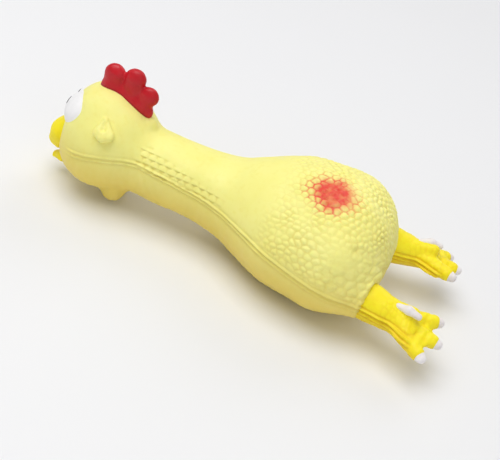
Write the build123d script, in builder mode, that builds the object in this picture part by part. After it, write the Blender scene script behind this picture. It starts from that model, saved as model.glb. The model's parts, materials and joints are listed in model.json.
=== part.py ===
"""Hollow latex squeaky chicken, 180 mm from beak to toes.

The chicken lies on its belly with its legs trailing behind. +X runs from beak to
toes, +Z is its back, -Y is its left side. The origin is the centre of the box on
the floor. All sizes are in millimetres. A moulded latex skin is made as a back
half and a belly half that meet on the parting plane, over a soft fibre filling.
"""
import os
from math import cos, radians, sin

from build123d import *

os.makedirs("parts", exist_ok=True)

# ---- driving dimensions -------------------------------------------------------
length = 180.0          # beak to toe claws
beak_out = 3.8          # how far the upper beak stands before the face
nose = beak_out - length / 2    # x of the face's front, where all distances start
part_z = 24.6           # height of the parting plane over the floor
skin = 1.7              # latex wall
gap = 0.3               # air between pieces that are only laid together
joint_gap = 0.4         # air in the flexing zones

# distance from the face, half width, rise over and drop under the parting plane
stations = [
    (34.0, 15.0, 13.4, 17.4),
    (40.0, 14.5, 12.8, 17.4),
    (47.0, 14.2, 12.4, 17.4),
    (57.0, 14.2, 12.4, 17.4),
    (67.0, 14.5, 12.7, 17.7),
    (76.0, 16.2, 14.4, 18.8),
    (88.0, 23.6, 20.0, 23.0),
    (102.0, 31.0, 24.4, 26.0),
    (118.0, 33.4, 26.2, 26.6),
    (131.0, 32.4, 24.4, 25.6),
    (139.0, 26.5, 18.6, 20.0),
    (143.5, 15.0, 10.0, 11.0),
]

head_x, head_z = nose + 22.6, part_z + 1.4
head_r = 20.2

nod_x, bend_x, sway_x = nose + 41.0, nose + 57.0, nose + 70.0
nod_r, bend_r, sway_r = 18.6, 18.6, 20.4

hip_x, hip_y, hip_z = nose + 148.0, 22.6, part_z - 6.4
hip_r = 8.2
splay, droop = 11.0, 3.0

press_x, press_y = nose + 118.0, -7.0
press_r = 12.0
press_tilt = 12.0       # the patch is pushed in square to the sloping back

squeak_x = nose + 112.0
squeak_r = 7.0


# ---- forms used by several pieces ----------------------------------------------
def half_trunk(shrink, upper):
    """Neck and torso on one side of the parting plane, lofted through half ellipses."""
    first_angle = 0 if upper else 180
    with BuildPart() as form:
        for at, wide, rise, drop in stations:
            tall = (rise if upper else drop) - shrink
            end = shrink if at == stations[-1][0] else 0
            with BuildSketch(Plane.YZ.offset(nose + at - end)):
                with BuildLine():
                    arc = EllipticalCenterArc(
                        (0, part_z), wide - shrink, tall, first_angle, arc_size=180
                    )
                    Line(arc @ 1, arc @ 0)
                make_face()
        loft()
    return form.part


def trunk_core():
    """Solid room for the filling in the neck and torso, lofted through whole ovals."""
    shrink = skin + gap
    with BuildPart() as form:
        for at, wide, rise, drop in stations:
            end = shrink if at == stations[-1][0] else 0
            with BuildSketch(Plane.YZ.offset(nose + at - end)):
                with BuildLine():
                    EllipticalCenterArc((0, part_z), wide - shrink, rise - shrink, 0, arc_size=180)
                    EllipticalCenterArc((0, part_z), wide - shrink, drop - shrink, 180, arc_size=180)
                make_face()
        loft()
    return form.part


def thigh(side, shrink, upper):
    """Cone that leads from the rump to the cuff of one leg, on one side of the parting plane."""
    place = Location((hip_x - 10.5, side * (hip_y - 2.0), hip_z), (0, 90 + droop, splay * side))
    with BuildPart() as form:
        with Locations(place):
            Cone(11.2 - shrink, 8.7 - shrink, 18.0 - 2 * shrink)
        add(half_space(upper), mode=Mode.INTERSECT)
    return form.part


def head_ball(shrink):
    """Round form of the head."""
    with BuildPart() as form:
        with Locations((head_x, 0, head_z)):
            Sphere(head_r - shrink)
    return form.part


def egg(place, radii, turn=(0, 0, 0)):
    """Ellipsoid with its own radii, turned and moved into place."""
    with BuildPart() as form:
        Sphere(1)
        scale(by=radii)
    return form.part.moved(Location(place, turn))


def half_space(upper):
    """Everything over, or under, the parting plane."""
    with BuildPart() as form:
        with Locations((0, 0, part_z + (60 if upper else -60))):
            Box(400, 200, 120)
    return form.part


def ball(x, radius):
    """Ball on the axis of the neck."""
    with BuildPart() as form:
        with Locations((x, 0, part_z)):
            Sphere(radius)
    return form.part


def ahead_of(x):
    """Everything nearer to the beak than x."""
    with BuildPart() as form:
        with Locations((x - 100, 0, part_z)):
            Box(200, 200, 200)
    return form.part


def slice_of(x_front, r_front, x_back, r_back):
    """Room for one length of the neck: hollow front end, round back end."""
    with BuildPart() as form:
        add(ahead_of(x_back))
        add(ball(x_back, r_back))
        add(ahead_of(x_front), mode=Mode.SUBTRACT)
        add(ball(x_front, r_front + joint_gap), mode=Mode.SUBTRACT)
    return form.part


outer = {True: half_trunk(0, True), False: half_trunk(0, False)}
inner = {True: half_trunk(skin, True), False: half_trunk(skin, False)}
core = trunk_core()

patch_axis = Location((press_x, press_y, part_z + 25.2), (press_tilt, 0, 0))
squeak_axis = Location((squeak_x, 0, 0))

# ---- neck: two lengths, each with a back half, a throat half and its filling ----
neck_rooms = {
    "neck_base": slice_of(bend_x, bend_r, sway_x, sway_r),
    "neck": slice_of(nod_x, nod_r, bend_x, bend_r),
}
for zone, room in neck_rooms.items():
    for upper, half in ((True, "back"), (False, "throat")):
        with BuildPart() as neck_skin:
            add(outer[upper])
            add(inner[upper], mode=Mode.SUBTRACT)
            add(room, mode=Mode.INTERSECT)
        neck_skin.part.label = f"{zone}_{half}_skin"
        export_step(neck_skin.part, f"parts/{zone}_{half}_skin.step")

    with BuildPart() as neck_filling:
        add(core)
        add(room, mode=Mode.INTERSECT)
    neck_filling.part.label = f"{zone}_filling"
    export_step(neck_filling.part, f"parts/{zone}_filling.step")

# ---- torso ----------------------------------------------------------------------
with BuildPart() as torso_room:
    with Locations((0, 0, 100)):
        Box(400, 200, 200)
    add(ahead_of(sway_x), mode=Mode.SUBTRACT)
    add(ball(sway_x, sway_r + joint_gap), mode=Mode.SUBTRACT)
    for side in (-1, 1):
        with Locations((hip_x, side * hip_y, hip_z)):
            Sphere(hip_r + joint_gap, mode=Mode.SUBTRACT)

with BuildPart() as patch_hole:
    with Locations(patch_axis):
        Cylinder(press_r + joint_gap, 40)

with BuildPart() as squeaker_hole:
    with Locations(squeak_axis):
        Cylinder(squeak_r - 1.3, 30)

with BuildPart() as belly_hollow:
    add(inner[False])
    with Locations((0, 0, skin - 50)):
        Box(400, 200, 100, mode=Mode.SUBTRACT)

hollows = {True: inner[True], False: belly_hollow.part}
holes = {True: patch_hole.part, False: squeaker_hole.part}
for upper, half in ((True, "back"), (False, "belly")):
    with BuildPart() as torso_skin:
        add(outer[upper])
        for side in (-1, 1):
            add(thigh(side, 0, upper))
        add(torso_room.part, mode=Mode.INTERSECT)
        add(hollows[upper], mode=Mode.SUBTRACT)
        for side in (-1, 1):
            add(thigh(side, skin, upper), mode=Mode.SUBTRACT)
        add(holes[upper], mode=Mode.SUBTRACT)
    torso_skin.part.label = f"torso_{half}_skin"
    export_step(torso_skin.part, f"parts/torso_{half}_skin.step")

with BuildPart() as torso_filling:
    add(core)
    add(torso_room.part, mode=Mode.INTERSECT)
    with Locations(patch_axis * Location((0, 0, -5))):
        Cylinder(press_r + 5.0, 24, mode=Mode.SUBTRACT)
    with Locations(squeak_axis):
        Cylinder(squeak_r + 4.0, 2 * 3.9, mode=Mode.SUBTRACT)
        Cylinder(squeak_r + 0.5, 2 * 15.6, mode=Mode.SUBTRACT)
    with Locations((0, 0, -50 + skin + gap)):
        Box(300, 200, 100, mode=Mode.SUBTRACT)
torso_filling.part.label = "torso_filling"
export_step(torso_filling.part, "parts/torso_filling.step")

with BuildPart() as rump_patch:
    add(outer[True])
    add(inner[True], mode=Mode.SUBTRACT)
    with Locations(patch_axis):
        Cylinder(press_r, 40, mode=Mode.INTERSECT)
rump_patch.part.label = "rump_patch"
export_step(rump_patch.part, "parts/rump_patch.step")

# ---- squeaker, plugged into the belly from inside --------------------------------
with BuildPart() as squeaker_body:
    with Locations((squeak_x, 0, 3.1)):
        Cylinder(squeak_r + 3.2, 1.2)
    with Locations((squeak_x, 0, 1.9)):
        Cylinder(squeak_r - 1.6, 2.2)
    with Locations((squeak_x, 0, 8.6)):
        Cylinder(squeak_r, 10.4)
    with Locations((squeak_x, 0, 9.0)):
        Cylinder(squeak_r - 1.4, 10.0, mode=Mode.SUBTRACT)
    with Locations((squeak_x, 0, 2.0)):
        Cylinder(2.2, 6.0, mode=Mode.SUBTRACT)
squeaker_body.part.label = "squeaker_body"
export_step(squeaker_body.part, "parts/squeaker_body.step")

with BuildPart() as squeaker_reed_block:
    with Locations((squeak_x, 0, 4.8)):
        Cylinder(squeak_r - 1.5, 1.4)
    with Locations((squeak_x, 2.0, 8.3)):
        Box(5.0, 1.8, 6.0)
    with Locations((squeak_x, 1.1, 7.0)):
        Box(2.2, 1.6, 5.2, mode=Mode.SUBTRACT)
    with Locations((squeak_x, 0, 4.8)):
        Cylinder(1.6, 3.0, mode=Mode.SUBTRACT)
squeaker_reed_block.part.label = "squeaker_reed_block"
export_step(squeaker_reed_block.part, "parts/squeaker_reed_block.step")

with BuildPart() as squeaker_reed:
    with Locations((squeak_x, 0.75, 8.4)):
        Box(3.6, 0.3, 5.4)
squeaker_reed.part.label = "squeaker_reed"
export_step(squeaker_reed.part, "parts/squeaker_reed.step")

with BuildPart() as squeaker_reed_clamp:
    with Locations((squeak_x, -0.1, 10.6)):
        Box(4.6, 1.0, 1.4)
squeaker_reed_clamp.part.label = "squeaker_reed_clamp"
export_step(squeaker_reed_clamp.part, "parts/squeaker_reed_clamp.step")

with BuildPart() as squeaker_cap:
    with Locations((squeak_x, 0, 14.6)):
        Cylinder(squeak_r, 1.4)
    with Locations((squeak_x, 0, 13.3)):
        Cylinder(squeak_r - 1.5, 1.4)
    with Locations((squeak_x, 0, 14.0)):
        with PolarLocations(3.0, 6):
            Cylinder(0.8, 6.0, mode=Mode.SUBTRACT)
squeaker_cap.part.label = "squeaker_cap"
export_step(squeaker_cap.part, "parts/squeaker_cap.step")

# ---- head -----------------------------------------------------------------------
with BuildPart() as head_room:
    add(ahead_of(nod_x))
    add(ball(nod_x, nod_r))

with BuildPart() as head_outside:
    add(outer[True])
    add(outer[False])
    add(head_room.part, mode=Mode.INTERSECT)
    add(head_ball(0))

with BuildPart() as head_inside:
    add(inner[True])
    add(inner[False])
    add(head_ball(skin))

for upper, half in ((True, "crown"), (False, "jaw")):
    with BuildPart() as head_skin:
        add(head_outside.part)
        add(head_inside.part, mode=Mode.SUBTRACT)
        add(half_space(upper), mode=Mode.INTERSECT)
    head_skin.part.label = f"head_{half}_skin"
    export_step(head_skin.part, f"parts/head_{half}_skin.step")

with BuildPart() as head_filling:
    add(core)
    add(head_room.part, mode=Mode.INTERSECT)
    add(head_ball(skin + gap))
head_filling.part.label = "head_filling"
export_step(head_filling.part, "parts/head_filling.step")

# comb: three puffy lobes and a tail on one rib; the head is cut from it
comb_lobes = [
    (18.4, 29.2, 4.6),
    (27.2, 30.6, 4.5),
    (34.4, 25.8, 4.0),
    (34.8, 19.0, 2.9),
]
with BuildPart() as comb:
    with BuildSketch(Plane.XZ):
        with BuildLine():
            Polyline(
                (nose + 14.2, part_z + 19.0),
                (nose + 14.4, part_z + 26.4),
                (nose + 18.4, part_z + 29.4),
                (nose + 26.6, part_z + 30.0),
                (nose + 33.6, part_z + 25.2),
                (nose + 35.6, part_z + 18.4),
                (nose + 31.0, part_z + 13.4),
                close=True,
            )
        make_face()
    extrude(amount=2.6, both=True)
    for at, up, radius in comb_lobes:
        add(egg((nose + at, 0, part_z + up), (radius, 3.3, radius)))
    add(head_ball(-0.05), mode=Mode.SUBTRACT)
comb.part.label = "comb"
export_step(comb.part, "parts/comb.step")

with BuildPart() as upper_beak:
    add(egg((nose - beak_out + 8.6, 0, part_z - 5.4), (8.6, 6.8, 8.6)))
    add(head_ball(-0.05), mode=Mode.SUBTRACT)
upper_beak.part.label = "upper_beak"
export_step(upper_beak.part, "parts/upper_beak.step")

with BuildPart() as lower_beak:
    add(egg((nose + 9.0, 0, part_z - 16.6), (8.4, 5.6, 2.8), (0, -22, 180)))
    add(head_ball(-0.05), mode=Mode.SUBTRACT)
lower_beak.part.label = "lower_beak"
export_step(lower_beak.part, "parts/lower_beak.step")

eye_up, eye_out, eye_reach = 41.0, 18.0, 12.6
eye_r = 9.9
glance_up, glance_out = 28.0, 8.0
for side, name in ((-1, "left"), (1, "right")):
    aim = Vector(
        -cos(radians(eye_up)) * cos(radians(eye_out)),
        side * sin(radians(eye_out)),
        sin(radians(eye_up)) * cos(radians(eye_out)),
    )
    centre = Vector(head_x, 0, head_z) + aim * eye_reach
    with BuildPart() as eye_white:
        with Locations(tuple(centre)):
            Sphere(eye_r)
        add(head_ball(-0.05), mode=Mode.SUBTRACT)
        with Locations((head_x, -side * 49.9, head_z)):
            Box(200, 100, 100, mode=Mode.SUBTRACT)
    eye_white.part.label = f"{name}_eye_white"
    export_step(eye_white.part, f"parts/{name}_eye_white.step")

    glance = Vector(
        -cos(radians(glance_up)) * cos(radians(glance_out)),
        side * sin(radians(glance_out)),
        sin(radians(glance_up)) * cos(radians(glance_out)),
    )
    with BuildPart() as pupil:
        with Locations(tuple(centre)):
            Sphere(eye_r + 0.4)
        with Locations(Plane(origin=Vector(head_x, 0, head_z) + glance * 21.6, z_dir=glance)):
            Cylinder(1.7, 6.0, mode=Mode.INTERSECT)
        with Locations(tuple(centre)):
            Sphere(eye_r + 0.04, mode=Mode.SUBTRACT)
    pupil.part.label = f"{name}_pupil"
    export_step(pupil.part, f"parts/{name}_pupil.step")

    with BuildPart() as ear:
        add(egg((nose + 25.2, side * 16.4, part_z + 13.2), (4.2, 3.6, 4.4), (side * -36, 0, 0)))
        add(head_ball(-0.05), mode=Mode.SUBTRACT)
    ear.part.label = f"{name}_ear"
    export_step(ear.part, f"parts/{name}_ear.step")

    with BuildPart() as wattle:
        add(egg((nose + 30.6, side * 6.0, 6.4), (5.6, 4.4, 6.6), (0, 12, 0)))
        with Locations((nose + 30.6, 0, -10)):
            Box(40, 40, 20, mode=Mode.SUBTRACT)
        add(head_ball(-0.05), mode=Mode.SUBTRACT)
        add(head_outside.part, mode=Mode.SUBTRACT)
    wattle.part.label = f"{name}_wattle"
    export_step(wattle.part, f"parts/{name}_wattle.step")

# ---- legs, drawn on their own axis with the hip at the origin ---------------------
toe_fan = (-35.0, -1.0, 32.0)
toe_reach = (26.2, 28.6, 28.4)
toe_rise = (-2.0, -0.6, 0.8)
toe_start = 9.0
claw = 4.2

for side, name in ((-1, "left"), (1, "right")):
    place = Location((hip_x, side * hip_y, hip_z), (0, droop, side * splay))
    with BuildPart() as leg:
        Sphere(hip_r)
        for at, wide, tall in ((3.0, 7.3, 7.3), (7.5, 6.3, 5.9), (12.0, 6.6, 5.2), (17.0, 8.2, 3.6)):
            with BuildSketch(Plane.YZ.offset(at)):
                Ellipse(wide, tall)
        loft()
        for fan, reach, rise in zip(toe_fan, toe_reach, toe_rise):
            turn = Location((toe_start, 0, 0), (0, -rise * 2, -side * fan))
            with Locations(turn * Location(((reach - toe_start - claw) / 2, 0, 0), (0, 90, 0))):
                Cylinder(3.1, reach - toe_start - claw)
        with Locations(Location((9.6, 0, 5.6), (0, 60, 0))):
            Cylinder(2.3, 5.0)
    leg_part = leg.part.moved(place)
    leg_part.label = f"{name}_leg"
    export_step(leg_part, f"parts/{name}_leg.step")

    with BuildPart() as toe_claws:
        for fan, reach, rise in zip(toe_fan, toe_reach, toe_rise):
            turn = Location((toe_start, 0, 0), (0, -rise * 2, -side * fan))
            with Locations(turn * Location((reach - toe_start - claw / 2 + 0.03, 0, 0), (0, 90, 0))):
                Cone(2.9, 1.2, claw)
    claws_part = toe_claws.part.moved(place)
    claws_part.label = f"{name}_toe_claws"
    export_step(claws_part, f"parts/{name}_toe_claws.step")

    with BuildPart() as heel_claw:
        with Locations(Location((9.6, 0, 5.6), (0, 60, 0)) * Location((0, 0, 2.53 + 3.4))):
            Cone(2.2, 0.8, 6.8)
    heel_part = heel_claw.part.moved(place)
    heel_part.label = f"{name}_heel_claw"
    export_step(heel_part, f"parts/{name}_heel_claw.step")
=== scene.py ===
"""Looks of the squeaky rubber chicken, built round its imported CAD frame.

The latex skin is one closed surface, found as the zero level of a few blended
round forms, then given its moulded detail (scales, mould ribs, scallops) along its
normals, and last divided where the neck bends, where the rump is pressed and along
the mould's parting plane. Lengths here are millimetres in the row frame until a mesh
is made.
"""
import json

import bpy
import numpy as np
from mathutils import Matrix, Vector


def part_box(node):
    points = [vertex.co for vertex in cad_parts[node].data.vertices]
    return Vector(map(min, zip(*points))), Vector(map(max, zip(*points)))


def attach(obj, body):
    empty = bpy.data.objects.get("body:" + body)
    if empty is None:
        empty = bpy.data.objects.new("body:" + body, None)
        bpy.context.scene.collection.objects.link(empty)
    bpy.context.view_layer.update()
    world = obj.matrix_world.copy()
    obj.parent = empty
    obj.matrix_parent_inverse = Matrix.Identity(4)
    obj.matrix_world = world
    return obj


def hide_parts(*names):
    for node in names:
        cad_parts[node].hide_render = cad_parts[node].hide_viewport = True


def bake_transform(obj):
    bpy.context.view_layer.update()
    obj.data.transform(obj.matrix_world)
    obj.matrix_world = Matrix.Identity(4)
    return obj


MM = 0.001

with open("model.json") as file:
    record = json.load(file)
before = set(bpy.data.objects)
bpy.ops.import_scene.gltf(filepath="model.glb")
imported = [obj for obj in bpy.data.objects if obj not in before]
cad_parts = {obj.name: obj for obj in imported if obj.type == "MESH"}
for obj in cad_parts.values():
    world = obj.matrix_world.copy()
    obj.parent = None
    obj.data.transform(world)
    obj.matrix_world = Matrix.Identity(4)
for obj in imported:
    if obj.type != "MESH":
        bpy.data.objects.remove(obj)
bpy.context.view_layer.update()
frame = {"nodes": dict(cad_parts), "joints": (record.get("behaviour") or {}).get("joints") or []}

# ---- places read from the frame --------------------------------------------------
joints = {joint["name"]: joint for joint in frame["joints"]}


def lowest(node):
    return np.array(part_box(node)[0]) / MM


def highest(node):
    return np.array(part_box(node)[1]) / MM


def pivot(name):
    return np.array(joints[name]["pos_m"]) / MM


parting = lowest("torso_back_skin")[2]
head_low, head_high = lowest("head_jaw_skin"), highest("head_crown_skin")
head_radius = (head_high[2] - head_low[2]) / 2
head_centre = np.array([head_low[0] + head_radius, 0.0, (head_high[2] + head_low[2]) / 2])
nose = head_centre[0] - 22.6    # the face's front, where distances along the toy start
patch_centre = (lowest("rump_patch") + highest("rump_patch")) / 2
patch_in = np.array(joints["rump_press"]["axis"])
spray_off_centre = np.array([-1.6, -3.6, 0.0])      # the red was sprayed a little to one side
squeaker_centre = (lowest("squeaker_body") + highest("squeaker_body")) / 2
squeaker_nozzle = 5.4   # radius of what comes through the belly

SKIN_STEP = 0.4
LEG_STEP = SKIN_STEP * 0.85
SMALL_STEP = 0.26
PUPIL_STEP = SMALL_STEP * 0.8


# ---- small numeric helpers ----------------------------------------------------------
def smooth(low, high, x):
    t = np.clip((x - low) / (high - low), 0, 1)
    return t * t * (3 - 2 * t)


def bell(x, width):
    return np.exp(-((x / width) ** 2))


def curve_through(rows, column):
    """A smooth function through the first column and the chosen one."""
    at = np.array([row[0] for row in rows], float)
    value = np.array([row[column] for row in rows], float)
    slope = np.gradient(value, at)

    def look_up(x):
        i = np.clip(np.searchsorted(at, x) - 1, 0, len(at) - 2)
        span = at[i + 1] - at[i]
        t = np.clip((x - at[i]) / span, 0, 1)
        rise = value[i + 1] - value[i]
        bend = (slope[i] * span - rise) * (1 - t) + (rise - slope[i + 1] * span) * t
        return value[i] + rise * t + t * (1 - t) * bend

    return look_up


def chance(*whole):
    """A repeatable number from 0 to 1 for each set of whole numbers."""
    mixed = np.zeros_like(whole[0], dtype=float)
    for weight, number in zip((127.1, 311.7, 74.7, 53.3), whole):
        mixed = mixed + weight * number
    mixed = np.sin(mixed) * 43758.5453
    return mixed - np.floor(mixed)


def lumps(p, size, seed=0):
    """Soft random relief from -1 to 1 with bumps of about this size."""
    q = p / size
    cell = np.floor(q)
    t = q - cell
    t = t * t * (3 - 2 * t)
    total = np.zeros(len(p))
    for corner in np.ndindex(2, 2, 2):
        share = np.ones(len(p))
        for axis in range(3):
            share = share * (t[:, axis] if corner[axis] else 1 - t[:, axis])
        key = [cell[:, axis] + corner[axis] for axis in range(3)]
        total += share * chance(*key, np.full(len(p), float(seed)))
    return total * 2 - 1


def cells(u, v, seed):
    """Distances to the nearest and the second nearest of staggered, jittered points."""
    row = np.floor(v)
    near = np.full(len(u), 9.0)
    second = near.copy()
    for down in (-1, 0, 1):
        r = row + down
        shift = 0.5 * np.mod(r, 2)
        column = np.floor(u - shift)
        for along in (-1, 0, 1):
            c = column + along
            seeds = np.full(len(u), float(seed))
            pu = c + shift + 0.5 + 0.6 * (chance(c, r, seeds) - 0.5)
            pv = r + 0.5 + 0.6 * (chance(c, r, seeds + 7) - 0.5)
            d = np.hypot(u - pu, v - pv)
            second = np.minimum(second, np.maximum(near, d))
            near = np.minimum(near, d)
    return near, second


# ---- blended forms: each gives a distance that is negative inside ------------------
def join(a, b, soft):
    h = np.clip(0.5 + 0.5 * (b - a) / soft, 0, 1)
    return b + (a - b) * h - soft * h * (1 - h)


def carve(a, b, soft):
    return -join(-a, b, soft)


def egg(p, centre, radii, axes=None):
    q = p - np.array(centre)
    if axes is not None:
        q = q @ axes
    r = np.array(radii, float)
    k0 = np.linalg.norm(q / r, axis=1)
    k1 = np.linalg.norm(q / (r * r), axis=1)
    return k0 * (k0 - 1) / np.maximum(k1, 1e-6)


def finger(p, a, b, ra, rb):
    """A rod with round ends whose radius goes from ra to rb."""
    a, b = np.array(a, float), np.array(b, float)
    t = np.clip((p - a) @ (b - a) / ((b - a) @ (b - a)), 0, 1)
    return np.linalg.norm(p - a - t[:, None] * (b - a), axis=1) - (ra + (rb - ra) * t)


def tube(y, w, half_width, rise, drop):
    """Distance to an oval tube, along the ray from its middle."""
    tall = np.where(w > 0, rise, drop)
    rho = np.sqrt((y / half_width) ** 2 + (w / tall) ** 2) + 1e-6
    return np.hypot(y, w) * (1 - 1 / rho)


# distance from the face, half width, rise over and drop under the parting plane
stations = [
    (30.0, 15.5, 13.8, 16.6),
    (40.0, 14.6, 12.9, 17.2),
    (50.0, 14.2, 12.4, 17.4),
    (60.0, 14.2, 12.4, 17.4),
    (69.0, 14.8, 13.0, 17.9),
    (78.0, 17.2, 15.2, 19.4),
    (88.0, 23.0, 19.8, 22.6),
    (98.0, 29.0, 23.6, 25.2),
    (108.0, 32.2, 25.6, 26.2),
    (119.0, 33.5, 26.3, 26.6),
    (130.0, 33.4, 25.6, 26.4),
    (136.0, 33.0, 24.6, 25.8),
]
half_width_at = curve_through(stations, 1)
rise_at = curve_through(stations, 2)
drop_at = curve_through(stations, 3)
rump_start, rump_end = 123.0, 146.0
neck_end = 24.0


def rounded_rump(s):
    """How much the torso has shrunk towards its round back end, from 1 to 0."""
    t = np.clip((s - rump_start) / (rump_end - rump_start), 0, 1)
    return np.sqrt(np.maximum(1 - t**2.6, 1e-4))


def trunk(p):
    s, y, w = p[:, 0] - nose, p[:, 1], p[:, 2] - parting
    k = rounded_rump(s)
    d = tube(y, w, half_width_at(s) * k, rise_at(s) * k, drop_at(s) * k)
    d = np.maximum(d, s - rump_end)
    return -join(-d, s - neck_end, 3.0)


# the legs lie on their own axes: along the shank, outwards, and up
leg_splay, leg_droop = np.radians(11.0), np.radians(3.0)
cuff_back = 5.0     # from the hip's pivot back to the cuff
sides = {"left": -1.0, "right": 1.0}


def leg_axes(side):
    along = np.array([np.cos(leg_splay), side * np.sin(leg_splay), -np.sin(leg_droop)])
    along = along / np.linalg.norm(along)
    up = np.array([0.0, 0.0, 1.0]) - along[2] * along
    up = up / np.linalg.norm(up)
    out = side * np.cross(up, along)
    return np.stack([along, out, up], 1)


legs = {name: (pivot(name + "_leg_swing"), leg_axes(side)) for name, side in sides.items()}


def thigh(p, name):
    hip, axes = legs[name]
    side = sides[name]
    d = finger(
        p,
        (nose + 126.0, side * 17.5, parting - 3.0),
        hip + axes @ np.array([6.0, 0.0, 0.0]),
        15.4,
        5.4,
    )
    cuff = (p - hip) @ axes[:, 0] + cuff_back
    return -join(-d, -cuff, 1.2)


def head(p):
    d = egg(p, head_centre, (head_radius, head_radius - 0.6, head_radius + 0.4))
    brow = egg(p, head_centre + [-4.5, 0, 10.5], (11.5, 13.0, 11.6))
    cheek = egg(p, head_centre + [-3.0, 0, -7.0], (15.6, 17.2, 13.4))
    d = join(join(d, brow, 4.0), cheek, 4.0)
    return -join(-d, p[:, 0] - nose - 4.4, 3.0)


ear_out = np.array([0.12, 0.80, 0.585])
ear_up = np.array([-0.09, -0.585, 0.806])


def ears(p):
    """A small pointed ear with a thick lower lip, and the dimple inside it."""
    q = np.stack([p[:, 0], np.abs(p[:, 1]), p[:, 2]], 1)

    def at(along, up, out):
        return head_centre + [along, 0, 0] + ear_up * up + ear_out * (head_radius + out)

    d = egg(q, at(0.2, -0.9, 0.0), (3.2, 2.6, 2.6))
    for one, other, thick in (
        (at(-0.8, 3.9, 0.1), at(-2.7, -1.6, 0.6), (0.9, 1.2)),
        (at(-0.8, 3.9, 0.1), at(3.2, -0.6, 0.4), (0.9, 1.4)),
        (at(-2.5, -2.3, 0.4), at(0.4, -3.2, 0.9), (1.2, 1.5)),
        (at(0.4, -3.2, 0.9), at(3.2, -1.8, 0.6), (1.5, 1.5)),
    ):
        d = join(d, finger(q, one, other, *thick), 0.8)
    dimple = finger(q, at(0.0, 2.7, 2.0), at(-0.2, 0.3, 2.5), 0.9, 1.5)
    return d, dimple


def wattles(p):
    low = np.minimum(lowest("left_wattle"), lowest("right_wattle"))
    tall = highest("left_wattle")
    q = np.stack([p[:, 0], np.abs(p[:, 1]), p[:, 2]], 1)
    middle = [(low[0] + tall[0]) / 2, -(lowest("left_wattle")[1] + tall[1]) / 2, low[2] + 7.6]
    return egg(q, middle, (5.2, 4.4, 6.0))


def body(p):
    """The pale latex skin: head, neck, torso and the thighs down to their cuffs."""
    d = join(trunk(p), head(p), 3.6)
    d = join(d, wattles(p), 3.0)
    ear, dimple = ears(p)
    d = carve(join(d, ear, 0.7), dimple, 0.8)
    knob = egg(p, (nose + 37.4, 0, parting + 14.2), (3.0, 3.2, 3.0))
    d = join(d, knob, 1.6)
    for name in legs:
        d = join(d, thigh(p, name), 6.0)
    return d


# ---- surface of a form as quads ------------------------------------------------------
def gradient(field, p, step=0.04):
    g = np.empty_like(p)
    for axis in range(3):
        off = np.zeros(3)
        off[axis] = step
        g[:, axis] = (field(p + off) - field(p - off)) / (2 * step)
    return g


def settle(field, p, rounds=3):
    """Moves points onto the zero level of the form."""
    for _ in range(rounds):
        g = gradient(field, p)
        p = p - g * (field(p) / np.maximum((g * g).sum(1), 1e-3))[:, None]
    return p


def relax(p, quads, share=0.5):
    """Moves each point towards the middle of its neighbours."""
    total = np.zeros_like(p)
    count = np.zeros(len(p))
    for a, b in ((0, 1), (1, 2), (2, 3), (3, 0)):
        for one, other in ((a, b), (b, a)):
            for axis in range(3):
                total[:, axis] += np.bincount(
                    quads[:, one], p[quads[:, other], axis], len(p)
                )
            count += np.bincount(quads[:, one], minlength=len(p))
    return p + share * (total / count[:, None] - p)


def surface(field, low, high, step):
    """Closed quad mesh of the form between two corners, with quads of about this step."""
    grid = [np.arange(a, b + step, step) for a, b in zip(low, high)]
    values = np.empty([len(g) for g in grid])
    y, z = np.meshgrid(grid[1], grid[2], indexing="ij")
    for i, x in enumerate(grid[0]):
        slab = np.stack([np.full(y.size, x), y.ravel(), z.ravel()], 1)
        values[i] = field(slab).reshape(y.shape)
    inside = values < 0
    count = sum(
        inside[i : i - 1 or None, j : j - 1 or None, k : k - 1 or None].astype(np.int8)
        for i, j, k in np.ndindex(2, 2, 2)
    )
    mixed = np.nonzero((count > 0) & (count < 8))
    index = np.full(count.shape, -1)
    index[mixed] = np.arange(len(mixed[0]))
    base = np.stack(mixed, 1)
    total = np.zeros((len(base), 3))
    hits = np.zeros(len(base))
    for axis in range(3):
        others = [a for a in range(3) if a != axis]
        for j, k in np.ndindex(2, 2):
            start = base.copy()
            start[:, others[0]] += j
            start[:, others[1]] += k
            end = start.copy()
            end[:, axis] += 1
            v0, v1 = values[tuple(start.T)], values[tuple(end.T)]
            cut = (v0 < 0) != (v1 < 0)
            t = np.where(cut, v0 / np.where(cut, v0 - v1, 1), 0)
            point = start.astype(float)
            point[:, axis] += t
            total += point * cut[:, None]
            hits += cut
    p = total / hits[:, None] * step + np.array([g[0] for g in grid])
    quads = []
    for axis in range(3):
        b, c = (axis + 1) % 3, (axis + 2) % 3
        one = [slice(None)] * 3
        two = [slice(None)] * 3
        one[axis], two[axis] = slice(None, -1), slice(1, None)
        for other in (b, c):
            one[other] = two[other] = slice(1, -1)
        first, second = inside[tuple(one)], inside[tuple(two)]
        place = np.stack(np.nonzero(first != second), 1)
        place[:, b] += 1
        place[:, c] += 1
        corners = []
        for db, dc in ((0, 0), (1, 0), (1, 1), (0, 1)):
            q = place.copy()
            q[:, b] -= db
            q[:, c] -= dc
            corners.append(index[tuple(q.T)])
        quad = np.stack(corners, 1)
        turned = second[first != second]
        quad[turned] = quad[turned][:, ::-1]
        quads.append(quad)
    quads = np.concatenate(quads)
    p = settle(field, p)
    for _ in range(2):
        p = settle(field, relax(p, quads), 1)
    return p, quads


def normals(p, quads):
    across = np.cross(p[quads[:, 2]] - p[quads[:, 0]], p[quads[:, 3]] - p[quads[:, 1]])
    total = np.zeros_like(p)
    for corner in range(4):
        for axis in range(3):
            total[:, axis] += np.bincount(quads[:, corner], across[:, axis], len(p))
    return total / np.maximum(np.linalg.norm(total, axis=1), 1e-9)[:, None]


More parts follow.
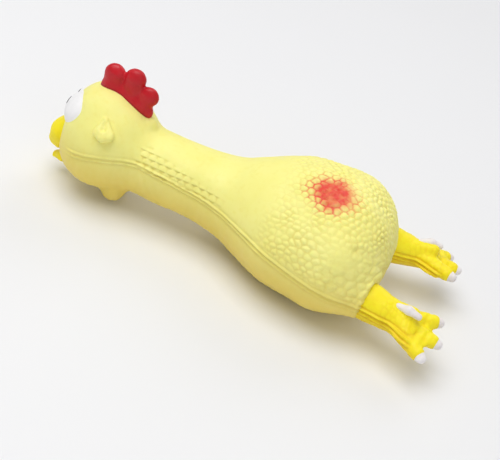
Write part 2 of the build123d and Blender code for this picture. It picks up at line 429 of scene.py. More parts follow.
# ---- moulded detail of the skin --------------------------------------------------------
def double_rib(q, spread=0.6):
    """The mould's parting line: two fine ridges with a groove between them."""
    ridges = bell(q - spread, 0.40) + bell(q + spread, 0.40)
    return 0.58 * ridges - 0.30 * bell(q, 0.42) - 0.28 * bell(np.abs(q) - spread - 0.75, 0.45)


def scratch(p, a, b, width):
    return bell(finger(p, a, b, 0, 0), width)


# distance from the face, height of the mould's line over the parting plane
hip_drop = legs["left"][0][2] - parting
seam_path = [
    (6, -3.0),
    (14, -1.8),
    (24, 1.2),
    (36, 3.0),
    (48, 2.3),
    (60, 1.3),
    (76, 0.2),
    (98, 0.0),
    (120, 0.45 * hip_drop),
    (146, hip_drop),
]
seam_at = curve_through(seam_path, 1)

# lengths along and round the body, and heights of the moulded scales
pebble_size, pebble_height = (3.0, 2.5), 0.58
coarse_size, coarse_height = (5.0, 4.3), 0.42
scallop_size, scallop_height = (3.5, 3.0), 0.55
torso_girth, neck_girth = 29.0, 16.0    # radii that turn angles into lengths


def mould_line(s, seam):
    """Relief of the rib at the mould's parting line, and the painted shade in its grooves and under its
    lower ridge.
    """
    shown = smooth(9, 16, s) * (0.75 + 0.25 * smooth(34, 46, s))
    spread = 0.85 - 0.25 * smooth(30, 42, s) + 0.3 * smooth(80, 100, s)
    shade = bell(seam, 0.4) + 0.8 * bell(seam + spread + 0.8, 0.5)
    return double_rib(seam, spread) * shown, 0.5 * shade * shown


def plucked_skin(p, s, y, w, turn, seam):
    """Pebbles on the back and flanks of the torso: relief and painted shade in the grooves between them."""
    past = np.clip((s - rump_start) / (rump_end - rump_start), 0, 1)
    along = s + 9.0 * past**3
    round_ = np.sign(y) * (np.pi / 2 - turn) * torso_girth
    fine_u = (along + lumps(p, 7.0, 3)) / pebble_size[0]
    fine_v = (round_ + lumps(p, 7.0, 4)) / pebble_size[1]
    near, second = cells(fine_u, fine_v, 5)
    pebble = smooth(0.0, 0.75, second - near) * (1 - 0.6 * near**2)
    coarse_near, coarse_second = cells(along / coarse_size[0], round_ / coarse_size[1], 9)
    coarse = smooth(0.0, 0.7, coarse_second - coarse_near)

    muscle = bell(np.hypot((s - 127) / 10.5, (np.abs(y) - 28.5) / 5.0), 1.0) * smooth(4, 9, w)
    flank = smooth(118, 128, s) * (1 - smooth(9, 15, w))
    from_patch = np.linalg.norm(p - patch_centre, axis=1)
    scaly = smooth(93, 105, s + 1.5 * lumps(p, 5.0, 6)) * smooth(1.6, 3.4, seam)
    scaly = scaly * (1 - 0.75 * muscle) * (1 + 0.35 * (1 - smooth(8, 20, from_patch)))
    fine_share = 1 - 0.65 * flank
    uneven = 0.75 + 0.5 * lumps(p, 6.0, 13)

    height = scaly * uneven * pebble_height * (pebble - 0.6) * fine_share
    height += scaly * flank * coarse_height * (coarse - 0.5 + lumps(p, 5.5, 12)) + 0.9 * muscle
    shaded_groove = scaly * uneven * (1 - smooth(0.0, 0.30, second - near)) * fine_share
    shaded_groove += 0.4 * scaly * flank * (1 - smooth(0.0, 0.25, coarse_second - coarse_near))
    return height, shaded_groove


def neck_scallops(p, s, turn):
    """Scallops in rows beside the rib on both sides of the neck: relief and painted shade between them."""
    above = turn * neck_girth
    row = np.floor(above / scallop_size[1])
    wavy = (s + 0.5 * lumps(p, 6.0, 14)) / scallop_size[0]
    du = np.mod(wavy + 0.5 * np.mod(row, 2), 1) - 0.5
    dv = np.mod(above / scallop_size[1], 1)
    scallop = np.sqrt(np.maximum(0, 1 - 3.4 * du**2 - 0.9 * dv**2))
    top_row = 13.4 - 6.5 * smooth(42, 78, s)
    shown = smooth(38.5, 41, s) * (1 - smooth(73, 81, s))
    shown = shown * smooth(1.9, 2.5, above) * (1 - smooth(top_row - 1.6, top_row, above))
    return scallop_height * shown * (scallop - 0.55), 0.5 * shown * (1 - smooth(0.1, 0.6, scallop))


def creases(s, y, w):
    """The crease between thigh and rump, and a short fold behind the ear: relief and painted shade in them.
    """
    q = np.stack([s, np.abs(y), w], 1)
    crease = scratch(q, (132, 25.0, 14.5), (143.5, 13.0, 3.0), 1.7)
    fold = scratch(q, (39.0, 9.5, 9.3), (43.4, 9.0, 9.6), 0.45)
    return -0.85 * crease - 0.3 * fold, 0.35 * crease + 0.5 * fold


def draw_marks(p, s, seam):
    """Faint marks of the mould on the throat and belly."""
    below = 1 - smooth(-4, -1.5, seam)
    return 0.05 * below * np.sin(s * 2.1 + 0.8 * lumps(p, 6.0, 8))


def red_spray(p, w, shaded_groove):
    """Paint sprayed on the back, which runs out along the grooves."""
    core, fringe = 3.6, 10.8
    from_spray = p - patch_centre - spray_off_centre
    reach = np.linalg.norm(from_spray - patch_in * (from_spray @ patch_in)[:, None], axis=1)
    ragged = reach + 1.3 * lumps(p, 3.0, 10) + 0.9 * lumps(p, 1.2, 11) - 3.4 * shaded_groove
    return (1 - smooth(core, fringe, ragged)) * smooth(0, 4, w)


def skin_detail(p):
    """Height of the relief along the normal, with masks for the painted shade in the grooves and for the
    red spray.
    """
    s, y, w = p[:, 0] - nose, p[:, 1], p[:, 2] - parting
    k = rounded_rump(s)
    wide, tall = half_width_at(s) * k, np.where(w > 0, rise_at(s), drop_at(s)) * k
    turn = np.arctan2(w / tall, np.abs(y) / wide)
    seam = w - seam_at(s)
    height = 0.30 * lumps(p, 9.0, 1) + 0.10 * lumps(p, 3.6, 2) + draw_marks(p, s, seam)
    shaded_groove = np.zeros(len(p))
    for part_height, part_shaded_groove in (
        mould_line(s, seam),
        plucked_skin(p, s, y, w, turn, seam),
        neck_scallops(p, s, turn),
        creases(s, y, w),
    ):
        height += part_height
        shaded_groove += part_shaded_groove
    return height, np.clip(shaded_groove, 0, 1), red_spray(p, w, shaded_groove)


def belly_rest(p):
    """Flattens what the toy lies on, and sinks a socket for the squeaker's nozzle."""
    out = p.copy()
    far = np.hypot(p[:, 0] - squeaker_centre[0], p[:, 1] - squeaker_centre[1])
    socket = (1 - smooth(squeaker_nozzle + 0.3, squeaker_nozzle + 1.5, far)) * (p[:, 2] < 8)
    out[:, 2] = np.maximum(out[:, 2], 0.02 + 0.06 * smooth(0.0, 1.0, p[:, 2]))
    out[:, 2] += 2.6 * socket
    return out


# ---- meshes ------------------------------------------------------------------------------
def make_piece(name, p, quads, normal=None, masks=None, material=None):
    """A Blender mesh of these quads alone, with its rest place kept as an attribute."""
    used, flat = np.unique(quads, return_inverse=True)
    flat = flat.reshape(quads.shape)
    mesh = bpy.data.meshes.new(name)
    mesh.from_pydata((p[used] * MM).tolist(), [], flat.tolist())
    mesh.polygons.foreach_set("use_smooth", [True] * len(flat))
    rest = mesh.attributes.new("rest", "FLOAT_VECTOR", "POINT")
    rest.data.foreach_set("vector", (p[used] * MM).ravel())
    for mask, values in (masks or {}).items():
        layer = mesh.attributes.new(mask, "FLOAT", "POINT")
        layer.data.foreach_set("value", values[used].astype(np.float32))
    mesh.update()
    if normal is not None:
        mesh.normals_split_custom_set_from_vertices(normal[used].tolist())
    piece = bpy.data.objects.new(name, mesh)
    bpy.context.scene.collection.objects.link(piece)
    if material is not None:
        mesh.materials.append(material)
    return piece


def to_place(local, origin, axes):
    return local @ axes.T + origin


# ---- materials -----------------------------------------------------------------------------
def new_material(name):
    material = bpy.data.materials.new(name)
    material.use_nodes = True
    tree = material.node_tree
    return material, tree, tree.nodes["Principled BSDF"]


def add_node(tree, kind, inputs=None, **settings):
    node = tree.nodes.new(kind)
    for key, value in settings.items():
        setattr(node, key, value)
    for key, value in (inputs or {}).items():
        if isinstance(value, bpy.types.NodeSocket):
            tree.links.new(value, node.inputs[key])
        else:
            node.inputs[key].default_value = value
    return node


def place_of(tree, kept):
    """Coordinates that stay on the surface: the kept rest place, or the object's own."""
    if kept:
        return add_node(tree, "ShaderNodeAttribute", attribute_name="rest").outputs["Vector"]
    return add_node(tree, "ShaderNodeTexCoord").outputs["Object"]


def noise(tree, place, scale, detail=3.0, rough=0.55):
    settings = {"Vector": place, "Scale": scale, "Detail": detail, "Roughness": rough}
    return add_node(tree, "ShaderNodeTexNoise", settings).outputs["Fac"]


def ramp(tree, value, low, high, to_low=0.0, to_high=1.0):
    inputs = {"Value": value, "From Min": low, "From Max": high, "To Min": to_low, "To Max": to_high}
    return add_node(tree, "ShaderNodeMapRange", inputs).outputs["Result"]


def mix(tree, factor, first, second):
    node = tree.nodes.new("ShaderNodeMix")
    node.data_type = "RGBA"
    for socket, value in ((0, factor), (6, first), (7, second)):
        if isinstance(value, bpy.types.NodeSocket):
            tree.links.new(value, node.inputs[socket])
        elif socket == 0:
            node.inputs[0].default_value = value
        else:
            node.inputs[socket].default_value = (*value, 1.0)
    return node.outputs[2]


def mask_of(tree, name):
    return add_node(tree, "ShaderNodeAttribute", attribute_name=name).outputs["Fac"]


def bump(tree, shader, height, distance, strength):
    node = add_node(
        tree, "ShaderNodeBump", {"Height": height, "Distance": distance, "Strength": strength}
    )
    tree.links.new(node.outputs["Normal"], shader.inputs["Normal"])


def latex(name, colour, pale, deep, rough=(0.42, 0.6), kept=True, shaded_groove=None, soft=0.12):
    """Moulded latex: cloudy colour, a dull powdery shine and a very fine grain."""
    material, tree, shader = new_material(name)
    place = place_of(tree, kept)
    clouds = ramp(tree, noise(tree, place, 55.0, 4.0), 0.35, 0.68)
    tone = mix(tree, clouds, colour, pale)
    specks = ramp(tree, noise(tree, place, 420.0, 3.0), 0.52, 0.75, 0.0, 0.35)
    tone = mix(tree, specks, tone, deep)
    # painted shade: where the mask of grooves is high, the colour darkens towards the given shade colour
    if shaded_groove is not None:
        tone = mix(tree, ramp(tree, mask_of(tree, "shaded_groove"), 0.0, 1.0, 0.0, 0.5), tone, shaded_groove)
    tree.links.new(tone, shader.inputs["Base Color"])
    dull = ramp(tree, noise(tree, place, 140.0, 3.0), 0.3, 0.7, rough[0], rough[1])
    tree.links.new(dull, shader.inputs["Roughness"])
    shader.inputs["Specular IOR Level"].default_value = 0.38
    shader.inputs["Subsurface Weight"].default_value = soft
    shader.inputs["Subsurface Radius"].default_value = (1.0, 0.7, 0.2)
    shader.inputs["Subsurface Scale"].default_value = 0.0022
    bump(tree, shader, noise(tree, place, 1500.0, 4.0, 0.6), 0.00012, 0.35)
    return material, tree, shader


def body_latex():
    """Pale lemon skin, with painted shade in its grooves and on its lower side, and the red spray on the
    rump.
    """
    # painted shade: the grooves darken towards an olive gold
    material, tree, shader = latex(
        "pale_latex", (0.93, 0.87, 0.25), (0.95, 0.905, 0.30), (0.88, 0.79, 0.18), shaded_groove=(0.72, 0.57, 0.10)
    )
    tone = shader.inputs["Base Color"].links[0].from_socket
    # painted shade: the skin turns a deeper golden towards its lower side
    underside_shade = ramp(tree, mask_of(tree, "underside_shade"), 0.0, 1.0, 0.0, 0.75)
    tone = mix(tree, underside_shade, tone, (0.84, 0.62, 0.10))
    red = mask_of(tree, "red")
    blotch = ramp(tree, noise(tree, place_of(tree, True), 300.0, 4.0), 0.3, 0.7, 0.75, 1.15)
    strength = add_node(tree, "ShaderNodeMath", {0: red, 1: blotch}, operation="MULTIPLY", use_clamp=True)
    tone = mix(tree, strength.outputs[0], tone, (0.80, 0.07, 0.045))
    tree.links.new(tone, shader.inputs["Base Color"])
    return material


def paint(name, colour, second, rough):
    """A thin painted coat on latex, a little uneven."""
    material, tree, shader = new_material(name)
    place = place_of(tree, True)
    uneven = ramp(tree, noise(tree, place, 220.0, 4.0), 0.35, 0.7)
    tree.links.new(mix(tree, uneven, colour, second), shader.inputs["Base Color"])
    dull = ramp(tree, noise(tree, place, 300.0), 0.3, 0.7, rough - 0.08, rough + 0.1)
    tree.links.new(dull, shader.inputs["Roughness"])
    shader.inputs["Specular IOR Level"].default_value = 0.45
    bump(tree, shader, noise(tree, place, 900.0, 3.0), 0.0001, 0.3)
    return material


def fibre(name, kept):
    """White polyester filling."""
    material, tree, shader = new_material(name)
    place = place_of(tree, kept)
    waves = add_node(
        tree,
        "ShaderNodeTexWave",
        {"Vector": place, "Scale": 260.0, "Distortion": 22.0, "Detail": 4.0, "Detail Scale": 2.0},
    ).outputs["Fac"]
    tree.links.new(mix(tree, waves, (0.72, 0.72, 0.70), (0.92, 0.92, 0.90)), shader.inputs["Base Color"])
    shader.inputs["Roughness"].default_value = 0.95
    bump(tree, shader, waves, 0.0006, 0.8)
    return material


def moulded_plastic(name, colour, second, rough):
    """Small injection-moulded squeaker parts."""
    material, tree, shader = new_material(name)
    place = place_of(tree, False)
    flow = ramp(tree, noise(tree, place, 350.0, 3.0), 0.3, 0.7)
    tree.links.new(mix(tree, flow, colour, second), shader.inputs["Base Color"])
    dull = ramp(tree, noise(tree, place, 700.0, 3.0), 0.3, 0.7, rough, rough + 0.15)
    tree.links.new(dull, shader.inputs["Roughness"])
    bump(tree, shader, noise(tree, place, 2500.0, 2.0), 0.00005, 0.3)
    return material


pale = body_latex()
# painted shade: the golden latex turns orange on the legs' undersides, between their ribs, at the scutes'
# edges and where the beaks meet the head
golden = latex(
    "golden_latex", (0.98, 0.80, 0.008), (1.0, 0.87, 0.014), (0.94, 0.66, 0.005),
    shaded_groove=(0.74, 0.36, 0.004),
)[0]
# painted shade: the comb turns a deep red where it meets the head
comb_red = latex(
    "comb_latex", (0.50, 0.004, 0.012), (0.60, 0.008, 0.018), (0.36, 0.003, 0.008), rough=(0.3, 0.46),
    shaded_groove=(0.12, 0.002, 0.006), soft=0.06,
)[0]
white = paint("eye_white", (0.88, 0.87, 0.87), (0.95, 0.94, 0.94), 0.36)
black = paint("pupil_black", (0.010, 0.010, 0.011), (0.028, 0.026, 0.026), 0.3)
horn = paint("claw_white", (0.80, 0.74, 0.73), (0.93, 0.90, 0.90), 0.42)
node_materials = {
    "torso_filling": fibre("polyester_fibre", False),
    "squeaker_body": moulded_plastic("squeaker_shell", (0.80, 0.80, 0.78), (0.88, 0.88, 0.86), 0.35),
    "squeaker_reed": moulded_plastic("reed_film", (0.60, 0.70, 0.78), (0.72, 0.80, 0.86), 0.15),
}
for node in ("squeaker_cap", "squeaker_reed_block", "squeaker_reed_clamp"):
    node_materials[node] = node_materials["squeaker_body"]

# ---- the body's skin, divided where it flexes --------------------------------------------
box_low = np.array([nose - 1.5, -36.0, -2.6])
box_high = np.array([nose + 151.0, 36.0, parting + 29.5])
skin_p, skin_quads = surface(body, box_low, box_high, SKIN_STEP)
relief, shaded_groove, spray = skin_detail(skin_p)
# painted shade: 1 on the lower side of the skin and 0 on its top, for a deeper golden tone below
underside_shade = 1 - smooth(-13.0, 8.0, skin_p[:, 2] - parting)
skin_p = skin_p + normals(skin_p, skin_quads) * relief[:, None]
skin_p = belly_rest(skin_p)
skin_normal = normals(skin_p, skin_quads)
skin_masks = {"shaded_groove": shaded_groove, "red": spray, "underside_shade": underside_shade}

# the skin is cut behind the ears, twice in the neck and at the shoulders
nod, bend, sway = (pivot(name)[0] for name in ("head_nod", "neck_bend", "neck_sway"))
cut_head, cut_upper, cut_lower, cut_torso = nod - 7.0, nod + 8.3, bend + 7.3, sway + 12.0

# the cap that dents is what stands over a plane square to the press
cap_height, cap_rim, cap_reach, peak_reach = 2.6, 0.5, 24.0, 16.0
middle = skin_p[skin_quads].mean(1)
near_patch = np.linalg.norm(skin_p - patch_centre, axis=1) < peak_reach
peak = ((skin_p[near_patch] - patch_centre) @ -patch_in).max()
in_cap = (middle - patch_centre) @ -patch_in > peak - cap_height - cap_rim
in_cap &= np.linalg.norm(middle - patch_centre, axis=1) < cap_reach
zones = {
    "head_latex": middle[:, 0] < cut_head,
    "nape_latex": (middle[:, 0] >= cut_head) & (middle[:, 0] < cut_upper),
    "neck_latex": (middle[:, 0] >= cut_upper) & (middle[:, 0] < cut_lower),
    "shoulder_latex": (middle[:, 0] >= cut_lower) & (middle[:, 0] < cut_torso),
    "torso_back_latex": (middle[:, 0] >= cut_torso) & ~in_cap & (middle[:, 2] >= parting),
    "torso_belly_latex": (middle[:, 0] >= cut_torso) & ~in_cap & (middle[:, 2] < parting),
    "rump_latex": (middle[:, 0] >= cut_torso) & in_cap,
}
skin = {
    name: make_piece(name, skin_p, skin_quads[chosen], skin_normal, skin_masks, pale)
    for name, chosen in zones.items()
}


def bend_along_neck(piece):
    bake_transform(piece)


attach(skin["head_latex"], "head")
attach(skin["torso_back_latex"], "torso")
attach(skin["torso_belly_latex"], "torso")
bend_along_neck(skin["nape_latex"])
bend_along_neck(skin["neck_latex"])
bend_along_neck(skin["shoulder_latex"])
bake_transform(skin["rump_latex"])
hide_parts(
    "head_crown_skin",
    "head_jaw_skin",
    "left_ear",
    "right_ear",
    "left_wattle",
    "right_wattle",
)
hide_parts("neck_back_skin", "neck_throat_skin")
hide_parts("neck_base_back_skin", "neck_base_throat_skin")
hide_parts("torso_back_skin")
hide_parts("torso_belly_skin")
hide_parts("rump_patch")

# ---- filling of the head and neck, cut where the skin over it is cut ----------------------
filling_depth = 2.2
filling_round_end = 19.4
filling_step = 0.8


def filling(p):
    """Fibre under the skin, with a round end that sits in the torso's filling."""
    from_sway = np.linalg.norm(p - np.array([sway, 0.0, parting]), axis=1)
    past_sway = np.where(p[:, 0] > sway, from_sway - filling_round_end, -filling_round_end)
    return np.maximum(body(p) + filling_depth, past_sway)


fill_low = np.array([nose + 1.0, -21.0, 1.0])
fill_high = np.array([sway + filling_round_end + 2.0, 21.0, parting + 24.0])
fill_p, fill_quads = surface(filling, fill_low, fill_high, filling_step)
fill_p = fill_p + normals(fill_p, fill_quads) * (0.2 * lumps(fill_p, 2.4, 71))[:, None]
fill_x = fill_p[fill_quads].mean(1)[:, 0]
fill_zones = {
    "head_filling_fibre": fill_x < cut_head,
    "nape_filling_fibre": (fill_x >= cut_head) & (fill_x < cut_upper),
    "neck_filling_fibre": (fill_x >= cut_upper) & (fill_x < cut_lower),
    "neck_base_filling_fibre": fill_x >= cut_lower,
}
neck_fibre = fibre("bending_fibre", True)
fill = {
    name: make_piece(name, fill_p, fill_quads[chosen], material=neck_fibre)
    for name, chosen in fill_zones.items()
}
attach(fill["head_filling_fibre"], "head")
bend_along_neck(fill["nape_filling_fibre"])
bend_along_neck(fill["neck_filling_fibre"])
bend_along_neck(fill["neck_base_filling_fibre"])
for node in ("head_filling", "neck_filling", "neck_base_filling"):
    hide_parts(node)

# ---- comb ----------------------------------------------------------------------------------
comb_stretch = 0.68     # the comb is this much thinner than its lobes are round


def comb(p):
    q = np.stack([p[:, 0] - nose, p[:, 1] / comb_stretch, p[:, 2] - parting], 1)
    d = finger(q, (18.4, 0, 22.6), (31.6, 0, 20.0), 4.7, 4.4)
    for root, tip, root_r, tip_r in (
        ((18.6, 0, 22.5), (18.6, 0, 29.0), 3.9, 4.5),
        ((26.0, 0, 22.5), (27.2, 0, 30.4), 3.9, 4.4),
        ((31.4, 0, 20.5), (34.2, 0, 25.6), 3.7, 4.0),
        ((31.8, 0, 16.6), (34.4, 0, 18.8), 3.0, 2.9),
    ):
        d = join(d, finger(q, root, tip, root_r, tip_r), 1.4)
    return d * 0.8


def comb_detail(p):
    return 0.10 * lumps(p, 2.6, 21) + 0.07 * lumps(p, 1.1, 22)


def small_piece(name, field, low, high, material, detail=None, shaded_groove_mask=None, step=SMALL_STEP):
    p, quads = surface(field, np.array(low), np.array(high), step)
    if detail is not None:
        p = p + normals(p, quads) * detail(p)[:, None]
    masks = {"shaded_groove": shaded_groove_mask(p) if shaded_groove_mask is not None else np.zeros(len(p))}
    piece = make_piece(name, p, quads, None, masks, material)
    return piece


# 1 where a piece meets the head and 0 away from it: the mask for painted shade there
def near_head(p, reach=1.1):
    return 1 - smooth(0.1, reach, head(p))


comb_piece = small_piece(
    "comb_latex", comb, (nose + 12, -7, parting + 10), (nose + 41, 7, parting + 37), comb_red,
    comb_detail, near_head,
)
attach(comb_piece, "head")
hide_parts("comb")


# ---- beak -----------------------------------------------------------------------------------
def upper_beak(p):
    q = np.stack([p[:, 0] - nose, p[:, 1] / 1.12, p[:, 2] - parting], 1)
    d = finger(q, (5.6, 0, 0.6), (2.6, 0, -5.0), 4.8, 5.5)
    d = join(d, finger(q, (2.6, 0, -5.0), (0.6, 0, -9.0), 5.3, 3.8), 2.0)
    return join(d, finger(q, (0.6, 0, -9.0), (1.0, 0, -12.4), 3.7, 1.5), 1.2)


def lower_beak(p):
    q = np.stack([p[:, 0] - nose, p[:, 1] / 1.7, p[:, 2] - parting], 1)
    return join(
        finger(q, (9.0, 0, -13.6), (4.5, 0, -15.9), 3.2, 2.5),
        finger(q, (4.5, 0, -15.9), (0.8, 0, -17.2), 2.4, 1.4),
        1.0,
    )


# painted shade: each beak darkens towards orange where it meets the head
for name, form in (("upper_beak", upper_beak), ("lower_beak", lower_beak)):
    beak = small_piece(
        name + "_latex", form, (nose - 5, -11, parting - 22), (nose + 17, 11, parting + 8), golden,
        lambda p: 0.08 * lumps(p, 2.4, 31), lambda p: near_head(p, 0.8),
    )
    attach(beak, "head")
    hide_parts(name)


# ---- eyes -----------------------------------------------------------------------------------
def eye_aim(side, up, out):
    up, out = np.radians(up), np.radians(out)
    return np.array([-np.cos(up) * np.cos(out), side * np.sin(out), np.sin(up) * np.cos(out)])


eye_radius, eye_reach = 9.9, 13.2
eye_up, eye_out = 41.0, 18.0
glance_up, glance_out = 29.0, 10.0
pupil_radius, pupil_lift, pupil_depth = 2.0, 0.26, 1.2


def eye_white(p, centre, side):
    """A ball that stops short of the middle plane."""
    ball = np.linalg.norm(p - centre, axis=1) - eye_radius
    return -join(-ball, p[:, 1] * side - 0.06, 0.7)


def pupil(p, centre, place, outward):
    """A round patch that lies a little proud of the eyeball round centre."""
    q = p - place
    depth = q @ outward
    flat = np.linalg.norm(q - depth[:, None] * outward, axis=1)
    shell = np.linalg.norm(p - centre, axis=1) - eye_radius - pupil_lift
    return np.maximum(-join(-shell, pupil_radius - flat, 0.35), -pupil_depth - depth)


for name, side in sides.items():
    eye_centre = head_centre + eye_aim(side, eye_up, eye_out) * eye_reach
    eye_half = eye_radius + 1.5
    white_piece = small_piece(
        name + "_eye_white_paint", lambda p: eye_white(p, eye_centre, side), eye_centre - eye_half,
        eye_centre + eye_half, white, lambda p: 0.03 * lumps(p, 3.0, 41),
    )
    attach(white_piece, "head")
    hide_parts(name + "_eye_white")

    look = eye_aim(side, glance_up, glance_out)
    outward = head_centre + look * (eye_reach + eye_radius) - eye_centre
    outward = outward / np.linalg.norm(outward)
    pupil_at = eye_centre + outward * (eye_radius - 0.15)
    pupil_half = pupil_radius + 1.4
    pupil_piece = small_piece(
        name + "_pupil_paint", lambda p: pupil(p, eye_centre, pupil_at, outward),
        pupil_at - pupil_half, pupil_at + pupil_half, black, step=PUPIL_STEP,
    )
    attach(pupil_piece, "head")
    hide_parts(name + "_pupil")

# ---- legs: along, outwards and up from the hip ------------------------------------------------
# distance from the hip, half width, half height
shank_sizes = [
    (-10.0, 7.3, 7.3),
    (-4.0, 7.6, 7.6),
    (2.0, 6.9, 6.8),
    (7.0, 6.0, 5.8),
    (11.0, 6.1, 5.0),
    (15.0, 7.4, 4.3),
    (19.0, 8.0, 3.6),
]
shank_width, shank_height = curve_through(shank_sizes, 1), curve_through(shank_sizes, 2)
# start, tip of the flesh, claw's tip for the outer, middle and inner toe
toes = (
    ((10.0, 2.8, -0.8), (22.5, 8.5, -2.1), (25.4, 9.9, -2.3)),
    ((12.0, -0.4, -0.2), (24.8, -1.1, -0.4), (27.8, -1.2, -0.5)),
    ((9.5, -3.0, 0.8), (21.1, -10.0, 1.6), (23.8, -11.6, 1.8)),
)
toe_root_radius, toe_radius = 3.4, 2.8
claw_radius, claw_tip_radius = 2.85, 2.0
flesh_in_claw = 1.3     # the flesh rounds off this far before the claw's edge


def foot(p):
    """Shank, three webbed toes, and the hump that carries the heel's claw."""
    rounding_start, shank_end = 11.0, 17.5
    along = np.clip((p[:, 0] - rounding_start) / (shank_end - rounding_start), 0, 1)
    k = np.sqrt(np.maximum(1 - along**3, 1e-3))
    wide, tall = shank_width(p[:, 0]) * k, shank_height(p[:, 0]) * k
    d = np.maximum(tube(p[:, 1], p[:, 2], wide, tall, tall), p[:, 0] - shank_end)
    d = -join(-d, p[:, 0] + 9.0, 1.0)
    for root, tip, _ in toes:
        root, tip = np.array(root), np.array(tip)
        flesh_end = tip - (tip - root) / np.linalg.norm(tip - root) * flesh_in_claw
        d = join(d, finger(p, root, flesh_end, toe_root_radius, toe_radius), 1.5)
    web = egg(p, (15.0, -0.6, -0.5), (8.6, 9.2, 2.4))
    d = join(d, web, 1.5)
    heel = finger(p, (4.5, -1.2, 3.4), (12.6, -1.5, 5.3), 2.8, 2.5)
    return join(d, heel, 1.6)


def scute_gaps(p):
    """How far each point is inside its scute, and where the scutes show."""
    near, second = cells(p[:, 0] / 2.3, p[:, 1] / 2.5, 51)
    return second - near, smooth(0.8, 2.5, p[:, 2]) * smooth(0.5, 3.0, p[:, 0])


def foot_detail(p):
    rib = double_rib(p[:, 2], 0.8) * (1 - smooth(15, 19, p[:, 0])) * 1.3
    inside, on_top = scute_gaps(p)
    scutes = smooth(0.0, 0.4, inside) - 0.5
    knuckles = np.sin((p[:, 0] - 12.0) * 1.9) * smooth(14, 17, p[:, 0])
    from_tips = np.min([np.linalg.norm(p - np.array(tip), axis=1) for _, tip, _ in toes], axis=0)
    relief = rib + 0.13 * on_top * scutes + 0.14 * knuckles + 0.16 * lumps(p, 2.6, 52)
    return relief * smooth(2.6, 4.4, from_tips)


def foot_shade(p):
    inside, on_top = scute_gaps(p)
    # painted shade: darker towards the sole, between the side ribs and at the scutes' edges
    sole_shade = 0.7 * (1 - smooth(-5.0, 2.0, p[:, 2]))
    rib_groove_shade = 0.8 * (bell(p[:, 2], 0.45) + bell(np.abs(p[:, 2]) - 1.7, 0.5))
    rib_groove_shade = rib_groove_shade * (1 - smooth(15, 19, p[:, 0]))
    scute_edge_shade = 0.25 * on_top * (1 - smooth(0.0, 0.35, inside))
    return np.clip(scute_edge_shade + sole_shade + rib_groove_shade, 0, 1)


def toe_claws(p):
    """A round cap on each toe."""
    d = np.full(len(p), 99.0)
    for root, tip, end in toes:
        root, tip, end = np.array(root), np.array(tip), np.array(end)
        way = (end - tip) / np.linalg.norm(end - tip)
        claw = finger(p, tip - way, end - way * claw_tip_radius, claw_radius, claw_tip_radius)
        d = np.minimum(d, -join(-claw, (p - tip) @ way - 0.1, 0.5))
    return d


def heel_claw(p):
    """A long spur that lies on the hump."""
    return join(
        finger(p, (6.6, 0.3, 6.0), (10.8, 0.6, 7.1), 1.2, 1.65),
        finger(p, (10.8, 0.6, 7.1), (15.0, 0.6, 6.9), 1.65, 1.3),
        1.0,
    )


def place_leg_piece(name, field, low, high, step, hip, axes, material, detail=None, mask=None):
    """A piece drawn on the leg's own axes and put in place."""
    local, quads = surface(field, np.array(low), np.array(high), step)
    if detail is not None:
        local = local + normals(local, quads) * detail(local)[:, None]
    masks = {"shaded_groove": mask(local) if mask is not None else np.zeros(len(local))}
    if np.linalg.det(axes) < 0:
        quads = quads[:, ::-1]
    piece = make_piece(name, to_place(local, hip, axes), quads, None, masks, material)
    return piece


for name, (hip, axes) in legs.items():
    leg = place_leg_piece(
        name + "_leg_latex", foot, (-11, -14, -9), (30, 14, 10), LEG_STEP, hip, axes, golden,
        foot_detail, foot_shade,
    )
    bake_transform(leg)
    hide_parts(name + "_leg")
    for part, field, node in (
        ("toe_claws", toe_claws, "_toe_claws"),
        ("heel_claw", heel_claw, "_heel_claw"),
    ):
        claw = place_leg_piece(
            f"{name}_{part}_paint", field, (5, -15, -7), (31, 15, 11), SMALL_STEP, hip, axes, horn,
            lambda p: 0.05 * lumps(p, 1.8, 61),
        )
        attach(claw, name + "_leg")
        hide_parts(name + node)

# ---- CAD nodes that stay: the filling and the squeaker ---------------------------------------
for node, material in node_materials.items():
    mesh = frame["nodes"][node].data
    mesh.materials.clear()
    mesh.materials.append(material)

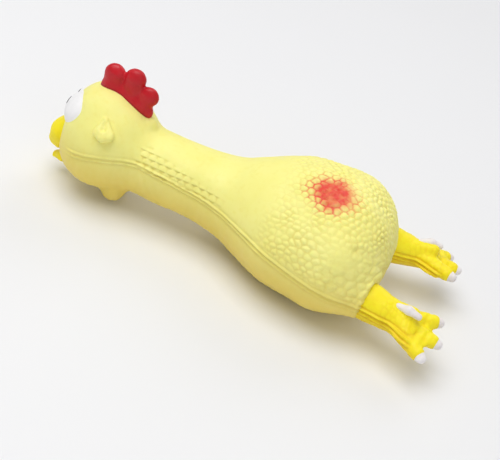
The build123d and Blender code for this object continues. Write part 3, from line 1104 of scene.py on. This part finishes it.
# ---- floor, light and camera -------------------------------------------------------------------
def lay_floor():
    bpy.ops.mesh.primitive_plane_add(size=6.0, location=(0, 0, -0.0002))
    floor = bpy.context.object
    floor.name = "floor"
    material, tree, shader = new_material("pale_floor")
    clouds = noise(tree, place_of(tree, False), 3.0)
    tone = mix(tree, clouds, (0.83, 0.83, 0.845), (0.87, 0.87, 0.88))
    tree.links.new(tone, shader.inputs["Base Color"])
    shader.inputs["Roughness"].default_value = 0.8
    floor.data.materials.append(material)
    return floor


def softbox(name, place, size, power):
    light = bpy.data.lights.new(name, "AREA")
    light.shape = "DISK"
    light.size = size
    light.energy = power
    lamp = bpy.data.objects.new(name, light)
    lamp.location = place
    lamp.rotation_mode = "QUATERNION"
    lamp.rotation_quaternion = Vector(place).to_track_quat("Z", "Y")
    bpy.context.scene.collection.objects.link(lamp)


def light_studio():
    world = bpy.data.worlds.new("pale_studio")
    world.use_nodes = True
    background = world.node_tree.nodes["Background"]
    background.inputs["Color"].default_value = (1.0, 1.0, 1.0, 1.0)
    background.inputs["Strength"].default_value = 0.42
    bpy.context.scene.world = world
    bpy.context.scene.view_settings.view_transform = "Standard"
    softbox("key_light", (-0.25, -0.15, 0.95), 0.9, 6.6)
    softbox("fill_light", (0.75, -0.85, 0.55), 0.8, 1.0)
    softbox("back_light", (0.2, 0.9, 0.7), 0.8, 2.0)


def set_camera(aim, distance, view_up, view_round, view_roll):
    """Looks at aim from over the toy's left side, turned a little towards the tail."""
    right = Vector((np.cos(view_round), np.sin(view_round), 0))
    away = Vector(
        (np.sin(view_round) * np.cos(view_up), -np.cos(view_round) * np.cos(view_up), np.sin(view_up))
    )
    up = away.cross(right)
    rolled_right = right * np.cos(view_roll) + up * np.sin(view_roll)
    rolled_up = up * np.cos(view_roll) - right * np.sin(view_roll)
    data = bpy.data.cameras.new("camera")
    data.sensor_width = 36.0
    data.lens = 68.4
    data.shift_x, data.shift_y = -0.0216, -0.0498
    data.clip_start = 0.01
    camera = bpy.data.objects.new("camera", data)
    place = Matrix((rolled_right, rolled_up, away)).transposed().to_4x4()
    place.translation = aim + away * distance
    camera.matrix_world = place
    bpy.context.scene.collection.objects.link(camera)
    bpy.context.scene.camera = camera


floor = lay_floor()
light_studio()
body_middle = Vector(((nose + 90.0) * MM, 0.0, parting * MM))
set_camera(
    body_middle,
    distance=0.38,
    view_up=np.radians(33.0),
    view_round=np.radians(8.0),
    view_roll=np.radians(19.2),
)
